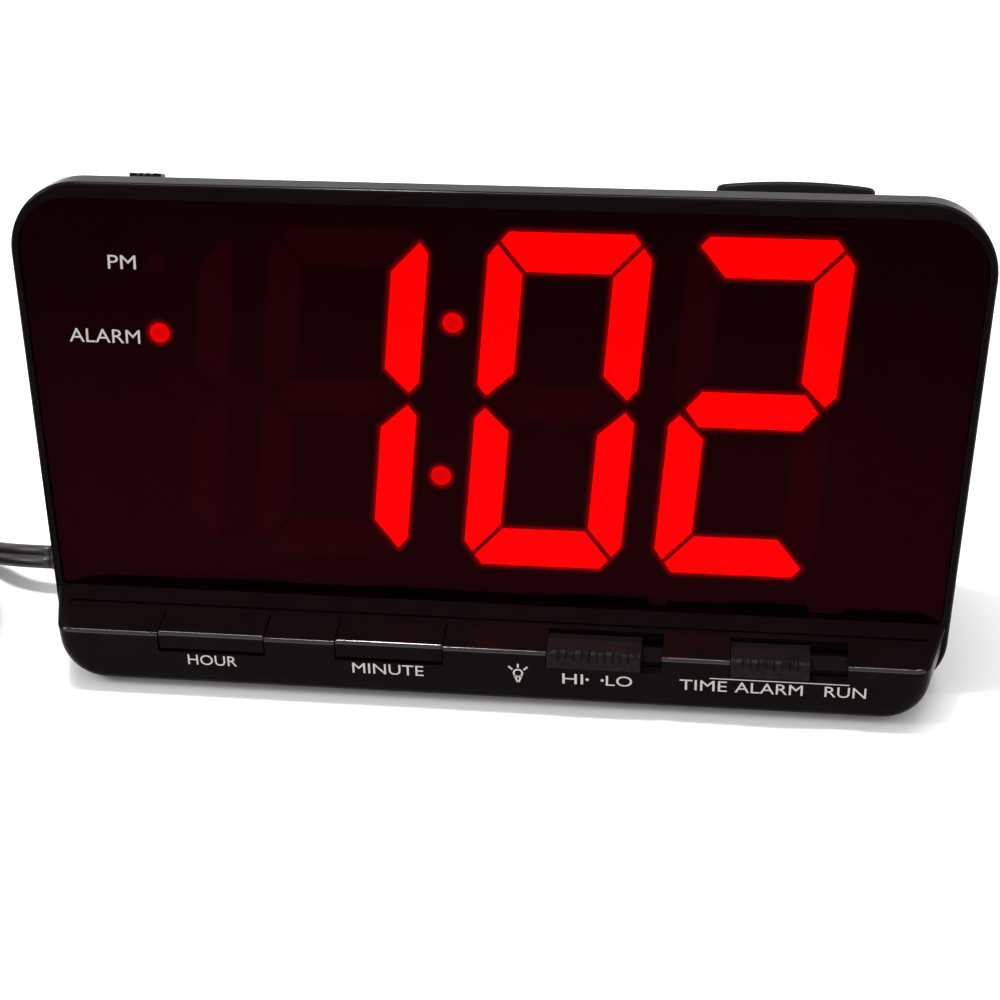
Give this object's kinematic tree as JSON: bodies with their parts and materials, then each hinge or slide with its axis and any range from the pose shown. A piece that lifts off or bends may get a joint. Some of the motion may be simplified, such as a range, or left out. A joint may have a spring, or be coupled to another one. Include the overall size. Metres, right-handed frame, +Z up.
{
  "type": "digital alarm clock",
  "caption": "Wedge-shaped desk alarm clock with very large segment digits behind a dark red lens, keys and slide switches on a front lip, and a snooze bar on top.",
  "frame": {"origin": "under the middle of the clock's case, at the height of the surface that its feet stand on; the mains lead isn't counted", "axes": "+Z up, -Y the way that the lens faces, +X to the right of someone facing the lens"},
  "size_m": [0.3074, 0.1047, 0.1096],
  "materials": {
    "case_black": "gloss",
    "cover_black": "fine grain",
    "control_black": "satin",
    "lens_red": "gloss",
    "well_black": "matt",
    "glow_red": "matt",
    "dim_red": "matt",
    "board_tan": "satin",
    "part_black": "satin",
    "screw_steel": "zinc plated",
    "core_steel": "laminated",
    "winding_tape": "taped",
    "battery_case": "satin",
    "rubber_black": "matt",
    "cord_black": "satin",
    "blade_brass": "bright",
    "lead_red": "satin"
  },
  "bodies": {
    "clock": {"front_bezel": "case_black", "display_lens": "lens_red", "rear_cover": "cover_black", "rubber_feet": "rubber_black", "case_screws": "screw_steel", "display_housing": "well_black", "digit_hours": "glow_red", "digit_tens": "glow_red", "digit_minutes": "glow_red", "colon_dots": "glow_red", "alarm_dot": "glow_red", "pm_dot": "dim_red", "unlit_segments": "dim_red", "display_board": "board_tan", "segment_lamps": "glow_red", "display_screws": "screw_steel", "key_board": "board_tan", "key_board_screws": "screw_steel", "key_switches": "part_black", "dimmer_switch": "part_black", "mode_switch": "part_black", "snooze_board": "board_tan", "snooze_switch": "part_black", "alarm_board": "board_tan", "alarm_switch": "part_black", "top_board_screws": "screw_steel", "main_board": "board_tan", "main_board_screws": "screw_steel", "clock_chip": "part_black", "filter_capacitor": "part_black", "rectifier_diodes": "part_black", "buzzer": "part_black", "transformer_core": "core_steel", "transformer_winding": "winding_tape", "transformer_bracket": "screw_steel", "transformer_screws": "screw_steel", "backup_battery": "battery_case", "battery_snap": "part_black", "mains_leads": "cord_black", "battery_leads": "lead_red", "strain_relief": "rubber_black", "power_cord": "cord_black", "cord_coil": "cord_black", "plug_lead": "cord_black", "plug_body": "rubber_black", "plug_blades": "blade_brass", "cord_tie": "rubber_black"},
    "hour_key": {"hour_button": "control_black"},
    "minute_key": {"minute_button": "control_black"},
    "snooze_key": {"snooze_button": "control_black"},
    "dimmer_slide": {"dimmer_knob": "control_black", "dimmer_lever": "part_black"},
    "mode_slide": {"mode_knob": "control_black", "mode_lever": "part_black"},
    "alarm_slide": {"alarm_knob": "control_black", "alarm_lever": "part_black"},
    "door": {"battery_door": "cover_black"}
  },
  "joints": [
    {"name": "hour_press", "type": "slide", "parent": "clock", "child": "hour_key", "axis": [0, 0, -1], "range_m": [0, 0.0008], "stiffness_N_per_m": 400, "springref_m": -0.0012},
    {"name": "minute_press", "type": "slide", "parent": "clock", "child": "minute_key", "axis": [0, 0, -1], "range_m": [0, 0.0008], "stiffness_N_per_m": 400, "springref_m": -0.0012},
    {"name": "snooze_press", "type": "slide", "parent": "clock", "child": "snooze_key", "axis": [0, -0.4217, -0.9068], "range_m": [0, 0.001], "stiffness_N_per_m": 400, "springref_m": -0.0012},
    {"name": "dimmer_travel", "type": "slide", "parent": "clock", "child": "dimmer_slide", "axis": [1, 0, 0], "range_m": [0, 0.0045]},
    {"name": "mode_travel", "type": "slide", "parent": "clock", "child": "mode_slide", "axis": [1, 0, 0], "range_m": [0, 0.008]},
    {"name": "alarm_travel", "type": "slide", "parent": "clock", "child": "alarm_slide", "axis": [1, 0, 0], "range_m": [0, 0.0042]},
    {"name": "door_slide", "type": "slide", "parent": "clock", "child": "door", "axis": [0, 1, 0], "range_m": [0, 0.028]}
  ]
}
